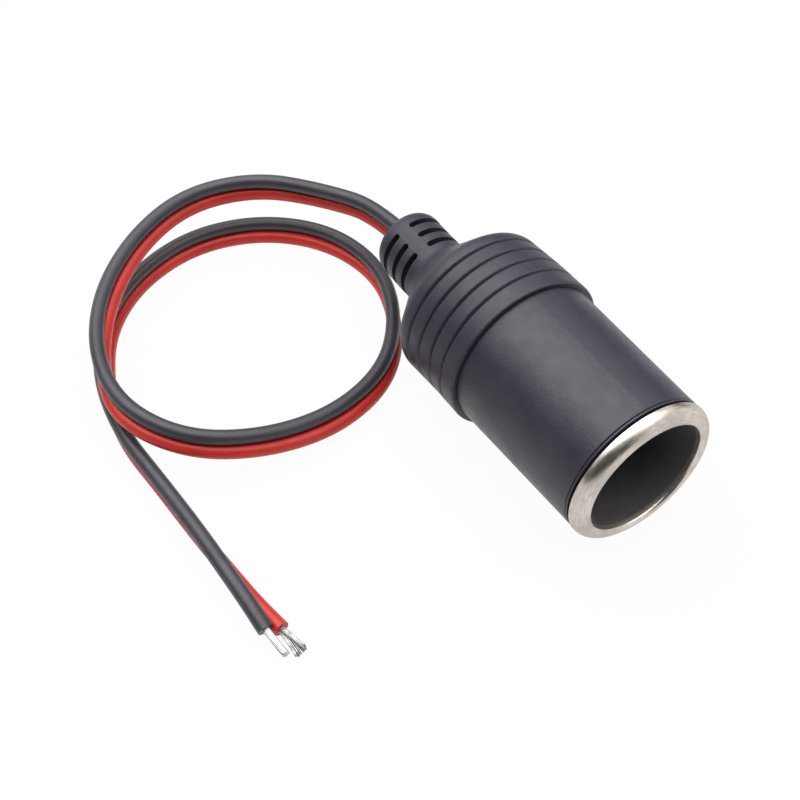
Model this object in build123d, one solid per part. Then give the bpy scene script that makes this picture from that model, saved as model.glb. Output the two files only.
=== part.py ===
from build123d import *
import math
import os

# In-line 12 volt power socket on a red and black twin lead, lying on its side.
# Frame: +X out of the mouth along the bore, +Z up, origin on the floor below mid-length.
# Sizes are millimetres. A depth is counted back from the front of the lip.

# Overall
overall_length = 65.6
collar_radius = 14.65
axis_height = collar_radius
mouth_x = overall_length / 2

# Contact sleeve: drawn steel cup with a rolled lip
bore_radius = 10.5
bore_depth = 40.0
sleeve_wall = 0.6
sleeve_radius = bore_radius + sleeve_wall
lip_radius = 13.25
lip_setback = 2.3
base_hole_radius = 3.6
base_corner_radius = 3.2
base_back_depth = bore_depth + sleeve_wall

# Front barrel
barrel_front_depth = 2.85
barrel_front_radius = 13.15
barrel_back_depth = 30.4
barrel_back_radius = 13.7
barrel_edge_radius = 0.12
rim_groove_depth = 3.3
rim_groove_half_width = 0.15
rim_groove_cut = 0.2
rim_groove_edge_radius = 0.1
barrel_end_depth = 41.5
nose_depth = 1.2
nose_radius = 12.1
spigot_radius = 12.9

# Rear boot: collar, shoulder and strain relief in one moulding
boot_front_depth = 30.8
boot_edge_radius = 0.3
collar_back_radius = 14.5
groove_depths = (34.0, 37.1, 40.1, 43.0)
groove_half_width = 0.32
groove_cut = 0.5
groove_edge_radius = 0.25
shoulder_depth = 45.3
shoulder_radius = 2.6
neck_depth = 53.15
neck_fillet = 1.8
relief_radius = 6.35
relief_edge_radius = 2.9
cavity_radius = 10.0
cavity_taper_depth = 45.0
cavity_end_depth = 50.5
cavity_end_radius = 3.2

# Slots in the strain relief: a row down each side, between two spines
slot_depths = (55.7, 58.5, 61.4)
slot_width = 1.15
slot_floor_radius = 3.7
slot_arc = 159.0
slot_corner_radius = 0.55
spine_roll = 22.0

# Contacts at the bottom of the bore
insulator_radius = 7.2
insulator_thickness = 1.6
insulator_front_depth = bore_depth - insulator_thickness
rivet_shank_radius = 2.0
rivet_head_radius = 4.5
rivet_head_height = 1.5
rivet_head_fillet = 0.9
rivet_tail_radius = 2.6
rivet_tail_height = 0.8
rivet_tail_fillet = 0.4
washer_radius = 5.2
washer_thickness = 0.8
tag_thickness = 0.5
tag_bend_radius = 0.3
positive_tag_radius = 4.2
positive_tag_width = 3.0
positive_tag_drop = 4.4
positive_tag_front_depth = base_back_depth + washer_thickness
positive_tag_back_depth = positive_tag_front_depth + tag_thickness
positive_tag_end_depth = 46.5
positive_tag_face = tag_thickness - positive_tag_drop
negative_tag_width = 4.0
negative_tag_low = 5.5
negative_tag_high = 8.0
negative_tag_end_depth = 45.8
solder_half_width = 1.3
solder_top_half_width = 0.95
solder_fillet = 0.5
solder_length = 2.2
solder_front_gap = 0.2

# Twin lead
core_radius = 1.3
conductor_radius = 0.6
core_pitch = 2.74
upper_core = core_pitch / 2
strip_depth = 53.2
bare_length = 5.0
positive_joint_depth = 43.2
negative_joint_depth = 42.4
negative_joint_height = 4.7
negative_bend_depths = (46.8, 50.2)
arc_share = 0.45
exit_lift = axis_height - upper_core - core_radius

# Route of the free twin lead: x, y, clear height under the lower core, and the
# lean of the upper core to the right of travel in degrees
cord_route = [
    (-39.5, 0.0, exit_lift, 0),
    (-51.6, -6.1, 11.0, -3),
    (-62.2, -14.4, 10.1, 6),
    (-66.6, -27.0, 9.1, 12),
    (-62.4, -39.5, 8.2, 20),
    (-53.5, -50.0, 7.2, 33),
    (-42.0, -57.0, 6.4, 8),
    (-28.8, -59.6, 6.4, -24),
    (-17.3, -53.2, 4.8, -22),
    (-12.2, -41.0, 2.4, -31),
    (-11.4, -27.7, 0.8, -40),
    (-16.1, -15.1, 0.0, -20),
    (-26.0, -6.5, 0.0, 0),
    (-38.6, -2.3, 0.0, 9),
    (-51.8, -5.3, 0.0, 28),
    (-61.5, -14.7, 0.0, 24),
    (-65.3, -27.5, 0.0, 20),
    (-61.9, -40.9, 0.0, 24),
    (-53.7, -51.2, 0.0, 34),
    (-41.9, -57.7, 0.0, 20),
    (-28.7, -59.8, 0.0, 3),
    (-15.1, -59.1, 0.0, 5),
    (-4.1, -58.3, 0.0, 5),
]

# The two cores part at the far end, the upper one coming down towards the floor
black_tail = [(5.8, -58.2, 3.9), (11.9, -58.1, 3.5), (16.8, -58.0, 2.6)]
red_tail = [(5.8, -57.3, core_radius), (11.9, -56.5, core_radius), (17.6, -55.3, core_radius)]


def back(depth):
    """X of a section at a depth behind the front of the lip."""
    return mouth_x - depth


def turned(outline):
    """Solid of revolution about the bore's axis, from a closed outline of x and radius."""
    return Pos(0, 0, axis_height) * revolve(Plane.XZ * make_face(outline), Axis.X)


def rounded_outline(corners):
    """Closed outline from corners of x, radius and corner fillet."""
    points = [(x, radius) for x, radius, fillet_radius in corners]
    fillets = [fillet_radius for x, radius, fillet_radius in corners]
    return FilletPolyline(points, radius=fillets, close=True)


def extruded_across(corners, width):
    """Solid of a side outline of x, height and fillet, centred across the axis."""
    face = Plane.XZ * make_face(rounded_outline(corners))
    return Pos(0, 0, axis_height) * extrude(face, amount=width / 2, both=True)


def contact_sleeve():
    """Drawn cup: a thin wall with an even thickness, rolled outwards at the mouth."""
    lip_rise = lip_radius - sleeve_radius
    roll = (lip_setback**2 + lip_rise**2) / (2 * lip_setback)
    roll_inside = roll - sleeve_wall
    end_cos = (roll - lip_setback) / roll
    end_sin = lip_rise / roll
    rim_start = (back(sleeve_wall), bore_radius)
    rim_front = (back(0), sleeve_radius)
    lip_end = (back(lip_setback), lip_radius)
    hem_end = (back(roll) + roll_inside * end_cos, sleeve_radius + roll_inside * end_sin)
    hem_start = (back(sleeve_wall), sleeve_radius)
    wall_back = (back(base_back_depth), sleeve_radius)
    base_back = (back(base_back_depth), base_hole_radius)
    base_front = (back(bore_depth), base_hole_radius)
    base_corner = (back(bore_depth), bore_radius)
    outline = FilletPolyline([base_front, base_corner, rim_start], radius=[base_corner_radius])
    outline += TangentArc(rim_start, rim_front, tangent=(1, 0))
    outline += TangentArc(rim_front, lip_end, tangent=(0, 1))
    outline += Line(lip_end, hem_end)
    outline += TangentArc(hem_start, hem_end, tangent=(0, 1))
    outline += FilletPolyline(
        [hem_start, wall_back, base_back, base_front],
        radius=[base_corner_radius + sleeve_wall, 0],
    )
    return turned(outline)


def front_barrel():
    """Drafted outer barrel: a nose under the lip, a grooved rim and a spigot inside the boot."""
    rim_back_depth = rim_groove_depth - rim_groove_half_width
    wall_front_depth = rim_groove_depth + rim_groove_half_width
    return turned(
        rounded_outline([
            (back(nose_depth), sleeve_radius, 0),
            (back(nose_depth), nose_radius, 0),
            (back(barrel_front_depth), nose_radius, 0),
            (back(barrel_front_depth), barrel_front_radius, barrel_edge_radius),
            (back(rim_back_depth), barrel_front_radius, rim_groove_edge_radius),
            (back(rim_groove_depth), barrel_front_radius - rim_groove_cut, 0),
            (back(wall_front_depth), barrel_front_radius, rim_groove_edge_radius),
            (back(barrel_back_depth), barrel_back_radius, 0),
            (back(barrel_back_depth), spigot_radius, 0),
            (back(barrel_end_depth), spigot_radius, 0),
            (back(barrel_end_depth), sleeve_radius, 0),
        ])
    )


def relief_slot(depth, middle_angle):
    """Ring-shaped cutter with round ends, centred at an angle about the axis."""
    slot_height = relief_radius - slot_floor_radius + slot_width
    section = Pos(back(depth), slot_floor_radius + slot_height / 2) * Rectangle(slot_width, slot_height)
    ring = revolve(Plane.XZ * section, Axis.X, revolution_arc=slot_arc)
    depthwise_edges = ring.edges().filter_by(GeomType.LINE).sort_by(SortBy.LENGTH)[-4:]
    ring = fillet(depthwise_edges, slot_corner_radius)
    middle = ring.center()
    now_at = math.degrees(math.atan2(middle.Z, middle.Y))
    return Pos(0, 0, axis_height) * Rot(middle_angle - now_at, 0, 0) * ring


def drafted_radius(depth):
    """Radius of the collar at a depth, between its front edge and its shoulder."""
    share = (depth - boot_front_depth) / (shoulder_depth - boot_front_depth)
    return collar_radius + (collar_back_radius - collar_radius) * share


def rear_boot():
    """Grooved collar, sloping shoulder and slotted strain relief, hollow around the joints."""
    corners = [
        (back(boot_front_depth), spigot_radius, 0),
        (back(boot_front_depth), collar_radius, boot_edge_radius),
    ]
    for depth in groove_depths:
        rim_radius = drafted_radius(depth)
        corners.append((back(depth - groove_half_width), rim_radius, groove_edge_radius))
        corners.append((back(depth), rim_radius - groove_cut, 0))
        corners.append((back(depth + groove_half_width), rim_radius, groove_edge_radius))
    corners += [
        (back(shoulder_depth), collar_back_radius, shoulder_radius),
        (back(neck_depth), relief_radius, neck_fillet),
        (back(overall_length), relief_radius, relief_edge_radius),
        (back(overall_length), 0, 0),
        (back(cavity_end_depth), 0, 0),
        (back(cavity_end_depth), cavity_end_radius, 0),
        (back(cavity_taper_depth), cavity_radius, 0),
        (back(barrel_end_depth), cavity_radius, 0),
        (back(barrel_end_depth), spigot_radius, 0),
    ]
    boot = turned(rounded_outline(corners))
    lead_section = SlotOverall(core_pitch + 2 * core_radius, 2 * core_radius, rotation=90)
    lead_plane = Plane.YZ.offset(back(overall_length))
    lead_hole = extrude(lead_plane * lead_section, amount=overall_length - cavity_end_depth)
    boot -= Pos(0, 0, axis_height) * lead_hole
    for depth in slot_depths:
        for side_angle in (spine_roll, 180 + spine_roll):
            boot -= relief_slot(depth, side_angle)
    return boot


def base_insulator():
    """Disc on the floor of the cup, with a spigot through the hole in its base."""
    return turned(
        Polyline(
            (back(insulator_front_depth), rivet_shank_radius),
            (back(insulator_front_depth), insulator_radius),
            (back(bore_depth), insulator_radius),
            (back(bore_depth), base_hole_radius),
            (back(base_back_depth), base_hole_radius),
            (back(base_back_depth), rivet_shank_radius),
            close=True,
        )
    )


def fibre_washer():
    """Flat ring between the cup's base and the positive tag."""
    return turned(
        Polyline(
            (back(base_back_depth), rivet_shank_radius),
            (back(base_back_depth), washer_radius),
            (back(base_back_depth + washer_thickness), washer_radius),
            (back(base_back_depth + washer_thickness), rivet_shank_radius),
            close=True,
        )
    )


def centre_contact():
    """Brass rivet with a domed head in the bore and a peened tail on the tag."""
    head_depth = insulator_front_depth - rivet_head_height
    tail_depth = positive_tag_back_depth + rivet_tail_height
    return turned(
        rounded_outline([
            (back(head_depth), 0, 0),
            (back(head_depth), rivet_head_radius, rivet_head_fillet),
            (back(insulator_front_depth), rivet_head_radius, 0),
            (back(insulator_front_depth), rivet_shank_radius, 0),
            (back(positive_tag_back_depth), rivet_shank_radius, 0),
            (back(positive_tag_back_depth), rivet_tail_radius, 0),
            (back(tail_depth), rivet_tail_radius, rivet_tail_fillet),
            (back(tail_depth), 0, 0),
        ])
    )


def positive_tag():
    """Ring under the rivet's tail, with a strip bent back to carry the red core."""
    ring_plane = Plane.YZ.offset(back(positive_tag_back_depth))
    ring = extrude(ring_plane * Circle(positive_tag_radius), amount=tag_thickness)
    strip = extruded_across(
        [
            (back(positive_tag_front_depth), -rivet_tail_radius, 0),
            (back(positive_tag_front_depth), -positive_tag_drop, tag_bend_radius + tag_thickness),
            (back(positive_tag_end_depth), -positive_tag_drop, 0),
            (back(positive_tag_end_depth), positive_tag_face, 0),
            (back(positive_tag_back_depth), positive_tag_face, tag_bend_radius),
            (back(positive_tag_back_depth), -rivet_tail_radius, 0),
        ],
        positive_tag_width,
    )
    hole = extrude(ring_plane * Circle(rivet_shank_radius), amount=tag_thickness)
    return strip + Pos(0, 0, axis_height) * ring - Pos(0, 0, axis_height) * hole


def negative_tag():
    """Strip welded to the cup's base and bent back to carry the black core."""
    tag_back_depth = base_back_depth + tag_thickness
    return extruded_across(
        [
            (back(base_back_depth), negative_tag_high, 0),
            (back(base_back_depth), negative_tag_low, tag_bend_radius + tag_thickness),
            (back(negative_tag_end_depth), negative_tag_low, 0),
            (back(negative_tag_end_depth), negative_tag_low + tag_thickness, 0),
            (back(tag_back_depth), negative_tag_low + tag_thickness, tag_bend_radius),
            (back(tag_back_depth), negative_tag_high, 0),
        ],
        negative_tag_width,
    )


def solder_joint(front_depth, tag_face, core_height):
    """Fillet of solder from a tag's face round the end of a core."""
    away = math.copysign(1, core_height - tag_face)
    far_face = core_height + away * (conductor_radius + solder_fillet)
    section = FilletPolyline(
        [
            (-solder_half_width, tag_face),
            (solder_half_width, tag_face),
            (solder_top_half_width, far_face),
            (-solder_top_half_width, far_face),
        ],
        radius=[0, 0, solder_fillet, solder_fillet],
        close=True,
    )
    end_plane = Plane.YZ.offset(back(front_depth + solder_length))
    block = extrude(end_plane * make_face(section), amount=solder_length)
    core = extrude(end_plane * Pos(0, core_height) * Circle(conductor_radius), amount=solder_length)
    return Pos(0, 0, axis_height) * (block - core)


def pair_direction(index):
    """Unit vector from the lower core to the upper one at a point of the route."""
    before = cord_route[max(index - 1, 0)]
    after = cord_route[min(index + 1, len(cord_route) - 1)]
    travel = Vector(after[0] - before[0], after[1] - before[1], 0).normalized()
    lean = math.radians(cord_route[index][3])
    return Vector(travel.Y, -travel.X, 0) * math.sin(lean) + Vector(0, 0, math.cos(lean))


def core_route(side, tail):
    """Points of one core along the route: side is 1 for the upper core, -1 for the lower."""
    points = []
    for index, (x, y, lift, lean) in enumerate(cord_route):
        direction = pair_direction(index)
        middle = Vector(x, y, lift + core_radius + direction.Z * upper_core)
        points.append(middle + direction * (side * upper_core))
    return points + [Vector(point) for point in tail]


def corner_radii(points):
    """Largest arcs that the runs beside each inner point leave room for."""
    radii = []
    for before, corner, after in zip(points, points[1:], points[2:]):
        turn = (corner - before).get_angle(after - corner)
        shorter_run = min((corner - before).length, (after - corner).length)
        radii.append(arc_share * shorter_run / math.tan(math.radians(turn / 2)))
    return radii


def tube(points, radii, outer_radius, inner_radius=0):
    """Round section swept along straight runs joined by tangent arcs."""
    path = FilletPolyline(points, radius=radii)
    section = Circle(outer_radius)
    if inner_radius:
        section -= Circle(inner_radius)
    solid = sweep(Plane(path @ 0, z_dir=path % 0) * section, path=path)
    expected = math.pi * (outer_radius**2 - inner_radius**2) * path.length
    print(f"  length {path.length:.1f}  volume over section times length {solid.volume / expected:.4f}")
    return solid


def twin_core(name, side, tail, inner_points):
    """Insulation and conductor of one core, from its solder tag to its bare end."""
    free_points = core_route(side, tail)
    strip_point = Vector(back(strip_depth), 0, free_points[0].Z)
    covered = [strip_point] + free_points
    covered_radii = corner_radii(covered)
    print(name, "radii", [round(radius, 1) for radius in covered_radii])
    tip = free_points[-1] + (free_points[-1] - free_points[-2]).normalized() * bare_length
    inner_radii = corner_radii(inner_points + [free_points[0]])
    whole = inner_points + free_points[:-1] + [tip]
    insulation = tube(covered, covered_radii, core_radius, conductor_radius)
    conductor = tube(whole, inner_radii + covered_radii, conductor_radius)
    return insulation, conductor


def at_joint(depth, height):
    """Point in the middle plane at a depth and a height above the axis."""
    return Vector(back(depth), 0, axis_height + height)


nodes = {
    "contact_sleeve": contact_sleeve(),
    "front_barrel": front_barrel(),
    "rear_boot": rear_boot(),
    "base_insulator": base_insulator(),
    "fibre_washer": fibre_washer(),
    "centre_contact": centre_contact(),
    "positive_tag": positive_tag(),
    "negative_tag": negative_tag(),
    "positive_solder": solder_joint(positive_joint_depth + solder_front_gap, positive_tag_face, -upper_core),
    "negative_solder": solder_joint(
        negative_joint_depth + solder_front_gap, negative_tag_low, negative_joint_height
    ),
}
nodes["black_insulation"], nodes["black_conductor"] = twin_core(
    "black",
    1,
    black_tail,
    [
        at_joint(negative_joint_depth, negative_joint_height),
        at_joint(negative_bend_depths[0], negative_joint_height),
        at_joint(negative_bend_depths[1], upper_core),
    ],
)
nodes["red_insulation"], nodes["red_conductor"] = twin_core(
    "red", -1, red_tail, [at_joint(positive_joint_depth, -upper_core)]
)

os.makedirs("parts", exist_ok=True)
for name, solid in nodes.items():
    export_step(solid, f"parts/{name}.step")
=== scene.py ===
import math
import random

import bmesh
import bpy
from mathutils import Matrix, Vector


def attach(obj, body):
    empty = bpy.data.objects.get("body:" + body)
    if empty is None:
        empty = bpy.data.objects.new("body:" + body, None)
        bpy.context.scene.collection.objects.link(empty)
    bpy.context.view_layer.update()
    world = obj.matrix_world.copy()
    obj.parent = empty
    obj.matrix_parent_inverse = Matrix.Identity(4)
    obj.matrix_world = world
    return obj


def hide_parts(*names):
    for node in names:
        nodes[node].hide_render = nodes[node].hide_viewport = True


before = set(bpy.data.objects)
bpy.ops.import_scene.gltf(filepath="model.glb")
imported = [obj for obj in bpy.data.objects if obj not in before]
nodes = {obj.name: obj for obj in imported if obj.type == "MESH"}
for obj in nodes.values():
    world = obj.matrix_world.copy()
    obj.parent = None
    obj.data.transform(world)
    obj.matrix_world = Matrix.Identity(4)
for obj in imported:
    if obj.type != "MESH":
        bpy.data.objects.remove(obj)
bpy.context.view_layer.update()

# Frame: metres, +X out of the mouth along the bore, +Z up, the floor at zero
mouth_x = 0.0328
axis_height = 0.01465
collar_front_x = 0.0020
bore_radius = 0.0105

# Camera
camera_lens = 56.25
camera_sensor = 36.0
camera_place = (0.106932, -0.093475, 0.165080)
camera_forward = (-0.54399, 0.35853, -0.75864)
camera_near = 0.01
camera_far = 20.0

# Twin lead: signs of the upper core, which is black, and the lower one, which is red, then sizes
upper = 1
lower = -1
core_radius = 0.0013
core_pitch = 0.0026
lead_start = (-0.0204, -0.0006)
exit_lift = axis_height - core_pitch / 2 - core_radius

# Curves: a control point's radius, which scales the bevel, the spline's steps and order, the bevel's steps
point_radius = 0.0001
curve_steps = 10
curve_order = 3
bevel_steps = 8

# Lean of the soft boot towards the lead: depth behind the lip and sideways shift
boot_lean = [
    (0.0370, 0.0),
    (0.0430, -0.0003),
    (0.0480, -0.0006),
    (0.0540, -0.00105),
    (0.0600, -0.00105),
    (0.0660, -0.00065),
]

# Front edge of the boot: it moves forwards by the reach at its own depth, and less up to the limit
edge_limit_depth = 0.0312
edge_depth = 0.0308
edge_reach = 0.0003

# Route of the free twin lead: x, y, clear height under the lower core, and the
# lean of the upper core to the right of travel in degrees
cord_route = [
    (-0.0394, -0.0003, exit_lift + 0.0002, -4),
    (-0.0516, -0.0062, 0.0110, -3),
    (-0.0621, -0.0145, 0.0101, 6),
    (-0.0665, -0.0270, 0.0091, 12),
    (-0.0623, -0.0395, 0.0082, 20),
    (-0.0534, -0.0501, 0.0072, 33),
    (-0.0418, -0.0571, 0.0063, 14),
    (-0.0287, -0.0597, 0.0063, -30),
    (-0.0172, -0.0532, 0.0048, -20),
    (-0.0120, -0.0410, 0.0024, -28),
    (-0.0113, -0.0276, 0.0008, -36),
    (-0.0160, -0.0149, 0.0, -24),
    (-0.0260, -0.0065, 0.0, -5),
    (-0.0386, -0.0023, 0.0, 6),
    (-0.0519, -0.0052, 0.0, 28),
    (-0.0615, -0.0147, 0.0, 23),
    (-0.0652, -0.0277, 0.0, 17),
    (-0.0618, -0.0408, 0.0, 12),
    (-0.0538, -0.0511, 0.0, 20),
    (-0.0418, -0.0573, 0.0, 20),
    (-0.0287, -0.0599, 0.0, 4),
    (-0.0151, -0.0589, 0.0, 6),
    (-0.0041, -0.0583, 0.0, 6),
]

# Ends of the two cores, where they part: x, y and z
black_tail = [(0.0058, -0.0582, 0.0038), (0.0119, -0.0580, 0.0033), (0.0168, -0.0579, 0.0024)]
red_tail = [(0.0058, -0.0572, 0.0013), (0.0119, -0.0566, 0.0013), (0.0174, -0.0556, 0.0013)]

# Conductors: radius, points of the line left off at its end, and starts at the solder joints
conductor_radius = 0.0006
conductor_stop = 2
black_joint = [(-0.0096, 0.0, 0.01935), (-0.0140, 0.0, 0.01935), (-0.0174, -0.0005, 0.0159)]
red_joint = [(-0.0104, 0.0, 0.0134)]

# Bare strands: rings of a count and a radius in spacings, and the length hidden in the core
strand_radius = 0.00017
strand_spacing = 0.00012
strand_sides = 8
strand_steps = 10
strand_rings = ((1, 0.0), (6, 1.8), (12, 3.5))
strand_hidden = 0.0015
strand_shuffle = 0.12
strand_bend = 0.5

# Limits of a strand's stray along x, y and z, in shares of the spread
stray_limits = ((-1, 1), (-1, 1), (-0.2, 1))

# Bare ends: the two tips that the strands fan between, and how loosely they lie
black_tips = [(0.0215, -0.0571, 0.0010), (0.0215, -0.0571, 0.0010)]
red_tips = [(0.0222, -0.0535, 0.0007), (0.0224, -0.0559, 0.0007)]
black_lay = {"twist": 1.2, "spread": 0.00002, "uneven": 0.04, "seed": 5}
red_lay = {"twist": 0.2, "spread": 0.00012, "uneven": 0.14, "seed": 8}

# Tones of each finish, dark then light
plastic_tones = ((0.026, 0.0245, 0.038), (0.035, 0.0333, 0.050))
nickel_tones = ((0.51, 0.465, 0.42), (0.70, 0.64, 0.585))
# painted shade of the deep bore, dark then light
bore_shade_tones = ((0.100, 0.096, 0.100), (0.130, 0.124, 0.127))
brass_tones = ((0.55, 0.38, 0.16), (0.76, 0.58, 0.28))
phenolic_tones = ((0.06, 0.025, 0.012), (0.13, 0.06, 0.03))
washer_tones = ((0.2, 0.045, 0.03), (0.34, 0.09, 0.06))
solder_tones = ((0.48, 0.48, 0.48), (0.68, 0.68, 0.69))
bright_tin_tones = ((0.6, 0.6, 0.6), (0.86, 0.86, 0.86))
dull_tin_tones = ((0.26, 0.26, 0.26), (0.58, 0.57, 0.58))
black_pvc_tones = ((0.036, 0.035, 0.045), (0.051, 0.049, 0.061))
red_pvc_tones = ((0.53, 0.024, 0.016), (0.66, 0.037, 0.025))

# Single colours
scuff_grey = (0.11, 0.105, 0.12)
nickel_plain = (0.66, 0.60, 0.54)
nickel_edge = (0.80, 0.78, 0.76)
card_grey = (0.06, 0.06, 0.06)
floor_white = (0.88, 0.88, 0.88)
world_white = (1.0, 1.0, 1.0)

# Noise: the span of most of its values, then repeats per metre and detail for each use
noise_span = (0.3, 0.7)
plastic_cloud = (160.0, 3.0)
plastic_sheen = (420.0, 4.0)
plastic_grain = (2400.0, 2.0)
plastic_swell = (960.0, 1.0)
rub_patch = (110.0, 2.0)
speck_dots = (2200.0, 3.0)
nickel_cloud = (260.0, 3.0)
# noise of the bore's painted shade
bore_shade_noise = (300.0, 4.0)
pvc_cloud = (120.0, 3.0)
pvc_sheen = (700.0, 4.0)
pvc_skin = (900.0, 2.0)

# Results of a value that is moved from one span to another
rising = (0.0, 1.0)
falling = (1.0, 0.0)

# Moulded plastic: change of roughness, share of the swell in the grain, scuffs by the collar's edge
plastic_polish = (-0.05, 0.06)
swell_share = 0.5
scuff_reach = (0.002, 0.010)
rub_span = (0.5, 0.62)
speck_span = (0.59, 0.67)
speck_strength = 0.6

# Sleeve: plated to the first depth behind the mouth, then dull and painted dark with shade from the
# second, streaks on the lip
plated_depth = 0.0004
dull_shade_depth = 0.0013
bore_margin = 0.0003
dull_roughness = 0.3
nickel_roughness = (0.28, 0.34)
nickel_span = (0.17, 0.34)
streaks_across = 3200.0
streaks_around = 9.0
streak_noise = (1.0, 4.0)
streak_margins = (0.0002, 0.0014)
streak_depth = 0.000012

# Insulation: roughness and its change, depth and strength of the uneven skin
pvc_roughness = 0.38
pvc_polish = (-0.06, 0.06)
skin_depth = 0.00001
skin_strength = 0.5

# Bare metal: change of roughness, detail of its patches, and its relief, which is finer than they are
metal_polish = (0.08, -0.06)
patch_detail = 4.0
relief_finer = 3.0
relief_detail = 3.0
relief_strength = 0.6

# Pressed board: roughness and its change, and fibres
board_roughness = 0.6
board_polish = (-0.10, 0.12)
fibre_span = (0.35, 0.65)
fibre_detail = 6.0
fibre_depth = 0.00003
fibre_strength = 0.5

# Places of the colour sockets on Blender's mix node
mix_inputs = (6, 7)
mix_output = 2

# Stage: share of white that the camera and mirrors see, and scattered light of the surroundings
floor_size = 6.0
floor_height = -0.0002
floor_glow = 0.96
world_glow = 1.0
world_scattered = 0.38
card_roughness = 0.8

# Dark cards: name, degrees round from +X, distance, width and height
cards = [
    ("flag_front", -44, 0.6, 1.6, 1.05),
    ("flag_left", -118, 0.6, 0.9, 0.27),
    ("flag_back", 125, 0.7, 1.0, 0.30),
]

# Soft lamps: turn about the vertical in degrees, then name, place, size and power
lamp_turn = 45
lamps = [
    ("overhead_back", (-0.242, -0.114, 0.55), (0.645, 0.66), 3.85),
    ("overhead_front", (0.178, 0.278, 0.55), (0.505, 0.70), 1.45),
]


def add_object(name, data):
    """New object of the scene that shows this data."""
    thing = bpy.data.objects.new(name, data)
    bpy.context.scene.collection.objects.link(thing)
    return thing


# Camera


def make_camera():
    """Camera at the photograph's viewpoint."""
    data = bpy.data.cameras.new("camera")
    data.lens = camera_lens
    data.sensor_width = camera_sensor
    data.clip_start = camera_near
    data.clip_end = camera_far
    camera = add_object("camera", data)
    camera.location = camera_place
    camera.rotation_mode = "QUATERNION"
    camera.rotation_quaternion = Vector(camera_forward).to_track_quat("-Z", "Y")
    bpy.context.scene.camera = camera


# Leads


def pair_direction(index, lean):
    """Unit vector from the lower core to the upper one at a point of the route."""
    before = cord_route[max(index - 1, 0)]
    after = cord_route[min(index + 1, len(cord_route) - 1)]
    travel = Vector((after[0] - before[0], after[1] - before[1], 0)).normalized()
    right = Vector((travel.y, -travel.x, 0))
    turn = math.radians(lean)
    return right * math.sin(turn) + Vector((0, 0, math.cos(turn)))


def core_points(side, tail):
    """Control points of the upper or the lower core."""
    points = [Vector((*lead_start, axis_height + side * core_pitch / 2))]
    for index, (x, y, lift, lean) in enumerate(cord_route):
        direction = pair_direction(index, lean)
        middle = Vector((x, y, lift + core_radius + direction.z * core_pitch / 2))
        points.append(middle + direction * (side * core_pitch / 2))
    return points + [Vector(point) for point in tail]


def nurbs_curve(name, points):
    """Smooth open spline with these control points."""
    data = bpy.data.curves.new(name, "CURVE")
    data.dimensions = "3D"
    data.resolution_u = curve_steps
    spline = data.splines.new("NURBS")
    spline.points.add(len(points) - 1)
    for point, place in zip(spline.points, points):
        point.co = (*place, 1.0)
        point.radius = point_radius
    spline.order_u = curve_order
    spline.use_endpoint_u = True
    return add_object(name, data)


def make_lead(name, side, tail):
    """One insulated core as a round tube on its spline."""
    lead = nurbs_curve(name, core_points(side, tail))
    lead.data.bevel_depth = core_radius / point_radius
    lead.data.bevel_resolution = bevel_steps
    lead.data.use_fill_caps = True
    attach(lead, "root")
    return lead


# Conductors


def smooth_points(points):
    """Points along the smooth spline with these control points."""
    curve = nurbs_curve("guide", points)
    mesh = bpy.data.meshes.new_from_object(curve)
    line = [vertex.co.copy() for vertex in mesh.vertices]
    bpy.data.meshes.remove(mesh)
    bpy.data.objects.remove(curve)
    return line


def add_tube(shape, line, radius, sides):
    """Closed round tube along a line of points."""
    side_way = (line[1] - line[0]).orthogonal().normalized()
    rings = []
    for index, place in enumerate(line):
        ahead = line[min(index + 1, len(line) - 1)]
        behind = line[max(index - 1, 0)]
        travel = (ahead - behind).normalized()
        side_way = (side_way - travel * side_way.dot(travel)).normalized()
        up_way = travel.cross(side_way)
        ring = []
        for step in range(sides):
            turn = 2 * math.pi * step / sides
            outwards = side_way * math.cos(turn) + up_way * math.sin(turn)
            ring.append(shape.verts.new(place + outwards * radius))
        rings.append(ring)
    for ring, following in zip(rings, rings[1:]):
        for step in range(sides):
            beside = (step + 1) % sides
            shape.faces.new((ring[step], ring[beside], following[beside], following[step]))
    shape.faces.new(list(reversed(rings[0])))
    shape.faces.new(rings[-1])


def add_strands(shape, line, tips, twist, spread, uneven, seed):
    """Bare strands from inside the end of a core, fanned between two tips."""
    draw = random.Random(seed)
    end = line[-1]
    travel = (end - line[-1 - conductor_stop]).normalized()
    side_way = travel.cross(Vector((0, 0, 1))).normalized()
    up_way = side_way.cross(travel)
    for count, ring_radius in strand_rings:
        for index in range(count):
            turn = 2 * math.pi * (index + 0.5) / count
            sideways = (index + 0.5) / count + draw.uniform(-strand_shuffle, strand_shuffle)
            tip = Vector(tips[0]).lerp(Vector(tips[1]), min(max(sideways, 0.0), 1.0))
            reach = 1.0 - draw.uniform(0.0, 1.0) * uneven
            stray = Vector([draw.uniform(*limits) for limits in stray_limits]) * spread
            run = tip - end
            sway = travel * run.length - run
            path = []
            for step in range(strand_steps + 1):
                share = step / strand_steps
                along = share * reach
                middle = end - travel * strand_hidden * (1 - share) ** 2 + run * along
                middle += sway * along * (1 - along) * strand_bend
                angle = turn + twist * share
                ring = side_way * math.cos(angle) + up_way * math.sin(angle)
                place = middle + ring * ring_radius * strand_spacing + stray * share ** 2
                place.z = max(place.z, strand_radius)
                path.append(place)
            add_tube(shape, path, strand_radius, strand_sides)


def make_conductor(name, side, joint, tail, tips, lay):
    """Stranded conductor of one core, with its bare end."""
    route = core_points(side, tail)
    line = smooth_points([Vector(point) for point in joint] + route)
    shape = bmesh.new()
    add_tube(shape, line[:-conductor_stop], conductor_radius, strand_sides)
    add_strands(shape, line, tips, **lay)
    mesh = bpy.data.meshes.new(name)
    shape.to_mesh(mesh)
    shape.free()
    mesh.shade_smooth()
    conductor = add_object(name, mesh)
    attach(conductor, "root")
    return conductor


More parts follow.
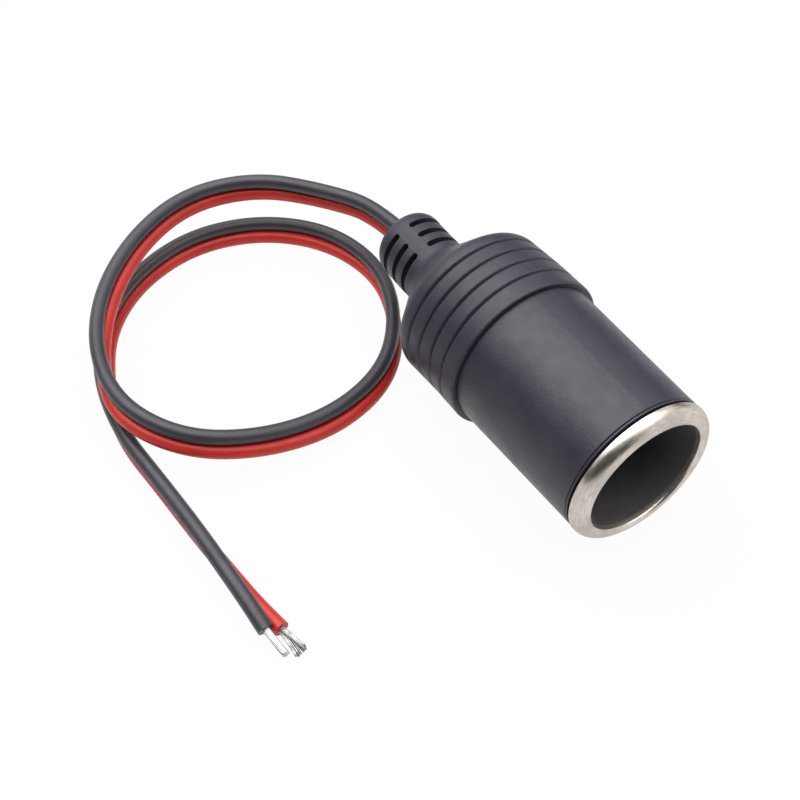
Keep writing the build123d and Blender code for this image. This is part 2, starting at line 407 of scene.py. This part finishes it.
# Boot


def lean_at(depth, line):
    """Sideways shift of the soft boot at a depth, from a smooth line of depths and shifts."""
    if depth <= line[0].x:
        return 0.0
    for before, after in zip(line, line[1:]):
        if depth <= after.x:
            return before.lerp(after, (depth - before.x) / (after.x - before.x)).y
    return line[-1].y


def make_boot():
    """The moulded boot, snug to the barrel and eased sideways where the lead pulls its relief."""
    line = smooth_points([Vector((depth, shift, 0)) for depth, shift in boot_lean])
    mesh = nodes["rear_boot"].data.copy()
    for vertex in mesh.vertices:
        depth = mouth_x - vertex.co.x
        vertex.co.y += lean_at(depth, line)
        ahead = (edge_limit_depth - depth) / (edge_limit_depth - edge_depth)
        vertex.co.x += edge_reach * min(max(ahead, 0.0), 1.0)
    boot = add_object("soft_boot", mesh)
    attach(boot, "root")
    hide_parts("rear_boot")
    return boot


# Node helpers


def new_material(name, colour, roughness, metallic=0.0):
    """Principled material, its node tree and its shader."""
    material = bpy.data.materials.new(name)
    material.use_nodes = True
    tree = material.node_tree
    shader = tree.nodes["Principled BSDF"]
    shader.inputs["Base Color"].default_value = (*colour, 1.0)
    shader.inputs["Roughness"].default_value = roughness
    shader.inputs["Metallic"].default_value = metallic
    return material, tree, shader


def object_place(tree):
    """Place on the piece, in the shared frame."""
    return tree.nodes.new("ShaderNodeTexCoord").outputs["Object"]


def separate(tree, place):
    """The three values of a place, by the names of their axes."""
    node = tree.nodes.new("ShaderNodeSeparateXYZ")
    tree.links.new(place, node.inputs[0])
    return node.outputs


def combine(tree, first, second, third):
    """Vector from three values."""
    node = tree.nodes.new("ShaderNodeCombineXYZ")
    for socket, value in zip(node.inputs, (first, second, third)):
        tree.links.new(value, socket)
    return node.outputs["Vector"]


def noise(tree, place, scale, detail):
    """Noise value; scale is in repeats per unit of the place."""
    node = tree.nodes.new("ShaderNodeTexNoise")
    node.inputs["Scale"].default_value = scale
    node.inputs["Detail"].default_value = detail
    tree.links.new(place, node.inputs["Vector"])
    return node.outputs["Fac"]


def ramp(tree, value, span, tones):
    """Colour that goes from one tone to another as a value rises through a span."""
    node = tree.nodes.new("ShaderNodeValToRGB")
    for element, position, tone in zip(node.color_ramp.elements, span, tones):
        element.position = position
        element.color = (*tone, 1.0)
    tree.links.new(value, node.inputs["Fac"])
    return node.outputs["Color"]


def remap(tree, value, span, results):
    """Value moved from a span to the span of its results and kept inside it."""
    node = tree.nodes.new("ShaderNodeMapRange")
    sockets = ("From Min", "From Max", "To Min", "To Max")
    for socket, limit in zip(sockets, (*span, *results)):
        node.inputs[socket].default_value = limit
    tree.links.new(value, node.inputs["Value"])
    return node.outputs["Result"]


def math_node(tree, operation, first, second=0.0):
    """Two values combined; either may be a number."""
    node = tree.nodes.new("ShaderNodeMath")
    node.operation = operation
    for socket, value in zip(node.inputs, (first, second)):
        if isinstance(value, (int, float)):
            socket.default_value = value
        else:
            tree.links.new(value, socket)
    return node.outputs["Value"]


def product(tree, first, second):
    """Two values multiplied."""
    return math_node(tree, "MULTIPLY", first, second)


def mix_colour(tree, share, first, second):
    """Colour mixed from two by a share; either may be a plain colour."""
    node = tree.nodes.new("ShaderNodeMix")
    node.data_type = "RGBA"
    tree.links.new(share, node.inputs["Factor"])
    for index, colour in zip(mix_inputs, (first, second)):
        socket = node.inputs[index]
        if isinstance(colour, tuple):
            socket.default_value = (*colour, 1.0)
        else:
            tree.links.new(colour, socket)
    return node.outputs[mix_output]


def bump(tree, shader, height, distance, strength=1.0):
    """Fine relief on the shader, from a height value."""
    node = tree.nodes.new("ShaderNodeBump")
    node.inputs["Strength"].default_value = strength
    node.inputs["Distance"].default_value = distance
    tree.links.new(height, node.inputs["Height"])
    tree.links.new(node.outputs["Normal"], shader.inputs["Normal"])


def uneven_polish(tree, shader, value, roughness, change):
    """Roughness that changes about its own value as a noise value rises."""
    low, high = change
    polish = remap(tree, value, noise_span, (roughness + low, roughness + high))
    tree.links.new(polish, shader.inputs["Roughness"])


def round_place(tree, place):
    """Place along the axis, radius and angle about it, of a turned piece."""
    parts = separate(tree, place)
    aside = parts["Y"]
    rise = math_node(tree, "SUBTRACT", parts["Z"], axis_height)
    squares = math_node(tree, "ADD", product(tree, aside, aside), product(tree, rise, rise))
    radius = math_node(tree, "SQRT", squares)
    angle = math_node(tree, "ARCTAN2", rise, aside)
    return parts["X"], radius, angle


# Materials


def collar_scuff(tree, place):
    """Share of light specks, in rubbed patches by the collar's edge."""
    off_edge = math_node(tree, "SUBTRACT", separate(tree, place)["X"], collar_front_x)
    near_edge = remap(tree, math_node(tree, "ABSOLUTE", off_edge), scuff_reach, falling)
    rubbed = remap(tree, noise(tree, place, *rub_patch), rub_span, rising)
    speck = remap(tree, noise(tree, place, *speck_dots), speck_span, (0.0, speck_strength))
    return product(tree, speck, product(tree, near_edge, rubbed))


def moulded_plastic(name, roughness, grain_depth):
    """Satin black moulding: cloudy tone, fine grain, light scuffs by the collar's edge."""
    material, tree, shader = new_material(name, plastic_tones[0], roughness)
    place = object_place(tree)
    tone = ramp(tree, noise(tree, place, *plastic_cloud), noise_span, plastic_tones)
    scuffed = mix_colour(tree, collar_scuff(tree, place), tone, scuff_grey)
    tree.links.new(scuffed, shader.inputs["Base Color"])
    uneven_polish(tree, shader, noise(tree, place, *plastic_sheen), roughness, plastic_polish)
    swell = product(tree, noise(tree, place, *plastic_swell), swell_share)
    grain = math_node(tree, "ADD", noise(tree, place, *plastic_grain), swell)
    bump(tree, shader, grain, grain_depth)
    return material


def plated_sleeve():
    """Nickel lip with fine streaks along its roll, and behind it a dull bore painted dark with shade."""
    material, tree, shader = new_material("nickel_plate", nickel_plain, nickel_roughness[0], 1.0)
    shader.inputs["Specular Tint"].default_value = (*nickel_edge, 1.0)
    place = object_place(tree)
    along, radius, angle = round_place(tree, place)
    streak_place = combine(
        tree,
        product(tree, along, streaks_across),
        product(tree, radius, streaks_across),
        product(tree, angle, streaks_around),
    )
    streak = noise(tree, streak_place, *streak_noise)
    cloud = noise(tree, place, *nickel_cloud)
    tone = ramp(tree, product(tree, streak, cloud), nickel_span, nickel_tones)
    # Painted shade: inside the bore, from the first depth behind the mouth, the nickel fades into a dark
    # dull colour that stands for the shade deep in the bore
    inside = math_node(tree, "LESS_THAN", radius, bore_radius + bore_margin)
    behind = remap(tree, along, (mouth_x - plated_depth, mouth_x - dull_shade_depth), rising)
    dull_shaded_bore = product(tree, inside, behind)
    bore_shade = ramp(tree, noise(tree, place, *bore_shade_noise), noise_span, bore_shade_tones)
    tree.links.new(mix_colour(tree, dull_shaded_bore, tone, bore_shade), shader.inputs["Base Color"])
    polish = remap(tree, streak, noise_span, nickel_roughness)
    roughness = math_node(tree, "ADD", polish, product(tree, dull_shaded_bore, dull_roughness))
    tree.links.new(roughness, shader.inputs["Roughness"])
    tree.links.new(remap(tree, dull_shaded_bore, rising, falling), shader.inputs["Metallic"])
    streak_radii = [bore_radius + margin for margin in streak_margins]
    outside = remap(tree, radius, streak_radii, rising)
    bump(tree, shader, product(tree, streak, outside), streak_depth)
    return material


def extruded_pvc(name, tones, gloss):
    """Satin cable sheath: slow change of tone, slightly uneven skin."""
    material, tree, shader = new_material(name, tones[1], pvc_roughness)
    shader.inputs["Specular IOR Level"].default_value = gloss
    place = object_place(tree)
    tone = ramp(tree, noise(tree, place, *pvc_cloud), noise_span, tones)
    tree.links.new(tone, shader.inputs["Base Color"])
    uneven_polish(tree, shader, noise(tree, place, *pvc_sheen), pvc_roughness, pvc_polish)
    bump(tree, shader, noise(tree, place, *pvc_skin), skin_depth, skin_strength)
    return material


def bare_metal(name, tones, roughness, scale, relief):
    """Metal with patchy tone and polish."""
    material, tree, shader = new_material(name, tones[1], roughness, 1.0)
    place = object_place(tree)
    patch = noise(tree, place, scale, patch_detail)
    tree.links.new(ramp(tree, patch, noise_span, tones), shader.inputs["Base Color"])
    uneven_polish(tree, shader, patch, roughness, metal_polish)
    dents = noise(tree, place, scale * relief_finer, relief_detail)
    bump(tree, shader, dents, relief, relief_strength)
    return material


def pressed_board(name, tones, scale):
    """Dull pressed sheet with short fibres."""
    material, tree, shader = new_material(name, tones[1], board_roughness)
    fibre = noise(tree, object_place(tree), scale, fibre_detail)
    tree.links.new(ramp(tree, fibre, fibre_span, tones), shader.inputs["Base Color"])
    uneven_polish(tree, shader, fibre, board_roughness, board_polish)
    bump(tree, shader, fibre, fibre_depth, fibre_strength)
    return material


def dress():
    """Finish of every piece."""
    brass = bare_metal("contact_brass", brass_tones, roughness=0.28, scale=500.0, relief=0.00001)
    solder = bare_metal("solder", solder_tones, roughness=0.38, scale=900.0, relief=0.00003)
    bright_tin = bare_metal(
        "tinned_copper", bright_tin_tones, roughness=0.4, scale=2500.0, relief=0.000008
    )
    dull_tin = bare_metal(
        "dull_tinned_copper", dull_tin_tones, roughness=0.45, scale=1100.0, relief=0.000008
    )
    finishes = [
        (nodes["front_barrel"], moulded_plastic("barrel_plastic", roughness=0.42, grain_depth=0.000036)),
        (soft_boot, moulded_plastic("boot_rubber", roughness=0.46, grain_depth=0.000045)),
        (nodes["contact_sleeve"], plated_sleeve()),
        (nodes["centre_contact"], brass),
        (nodes["positive_tag"], brass),
        (nodes["negative_tag"], brass),
        (nodes["base_insulator"], pressed_board("phenolic_board", phenolic_tones, scale=900.0)),
        (nodes["fibre_washer"], pressed_board("washer_fibre", washer_tones, scale=1200.0)),
        (nodes["positive_solder"], solder),
        (nodes["negative_solder"], solder),
        (black_conductor, bright_tin),
        (red_conductor, dull_tin),
        (black_lead, extruded_pvc("black_pvc", black_pvc_tones, gloss=0.5)),
        (red_lead, extruded_pvc("red_pvc", red_pvc_tones, gloss=0.44)),
    ]
    for piece, material in finishes:
        piece.data.materials.clear()
        piece.data.materials.append(material)


# Stage


def seen_share(tree, share):
    """A share for rays from the camera and in mirrors and glass, none for scattered light."""
    path = tree.nodes.new("ShaderNodeLightPath")
    seen = path.outputs["Is Camera Ray"]
    for kind in ("Is Glossy Ray", "Is Transmission Ray"):
        seen = math_node(tree, "MAXIMUM", seen, path.outputs[kind])
    return product(tree, seen, share)


def make_floor():
    """Plain white floor, white in mirrors too, that keeps a faint shadow."""
    bpy.ops.mesh.primitive_plane_add(size=floor_size, location=(0, 0, floor_height))
    floor = bpy.context.object
    floor.name = "floor"
    material = bpy.data.materials.new("floor_white")
    material.use_nodes = True
    tree = material.node_tree
    tree.nodes.clear()
    diffuse = tree.nodes.new("ShaderNodeBsdfDiffuse")
    diffuse.inputs["Color"].default_value = (*floor_white, 1.0)
    glow = tree.nodes.new("ShaderNodeEmission")
    mix = tree.nodes.new("ShaderNodeMixShader")
    output = tree.nodes.new("ShaderNodeOutputMaterial")
    tree.links.new(seen_share(tree, floor_glow), mix.inputs[0])
    tree.links.new(diffuse.outputs[0], mix.inputs[1])
    tree.links.new(glow.outputs[0], mix.inputs[2])
    tree.links.new(mix.outputs[0], output.inputs["Surface"])
    floor.data.materials.append(material)


def make_world():
    """White surroundings, with a low level of scattered light."""
    world = bpy.data.worlds.new("studio")
    bpy.context.scene.world = world
    world.use_nodes = True
    tree = world.node_tree
    background = tree.nodes["Background"]
    background.inputs["Color"].default_value = (*world_white, 1.0)
    share = seen_share(tree, world_glow)
    tree.links.new(math_node(tree, "MAXIMUM", share, world_scattered), background.inputs["Strength"])


def add_softbox(name, place, size, power):
    """Soft lamp that shines straight down."""
    data = bpy.data.lights.new(name, "AREA")
    data.shape = "RECTANGLE"
    data.size, data.size_y = size
    data.energy = power
    lamp = add_object(name, data)
    lamp.location = place
    lamp.rotation_euler = (0, 0, math.radians(lamp_turn))


def add_flag(name, azimuth, distance, width, height, material):
    """Dark card standing on the floor beside the set, as a studio uses to shape reflections."""
    turn = math.radians(azimuth)
    away = Vector((math.cos(turn), math.sin(turn), 0)) * distance
    along = Vector((-math.sin(turn), math.cos(turn), 0)) * (width / 2)
    rise = Vector((0, 0, height))
    corners = [away - along, away + along, away + along + rise, away - along + rise]
    mesh = bpy.data.meshes.new(name)
    mesh.from_pydata(corners, [], [(0, 1, 2, 3)])
    flag = add_object(name, mesh)
    flag.visible_camera = False
    mesh.materials.append(material)


def make_stage():
    """Floor, surroundings, cards and lamps."""
    make_floor()
    make_world()
    material = new_material("card_grey", card_grey, card_roughness)[0]
    for card in cards:
        add_flag(*card, material)
    for lamp in lamps:
        add_softbox(*lamp)


make_camera()
black_lead = make_lead("black_lead", upper, black_tail)
red_lead = make_lead("red_lead", lower, red_tail)
black_conductor = make_conductor("black_strands", upper, black_joint, black_tail, black_tips, black_lay)
red_conductor = make_conductor("red_strands", lower, red_joint, red_tail, red_tips, red_lay)
soft_boot = make_boot()
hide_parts("black_insulation")
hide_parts("red_insulation")
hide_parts("black_conductor")
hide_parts("red_conductor")
dress()
make_stage()
bpy.context.scene.view_settings.view_transform = "Standard"
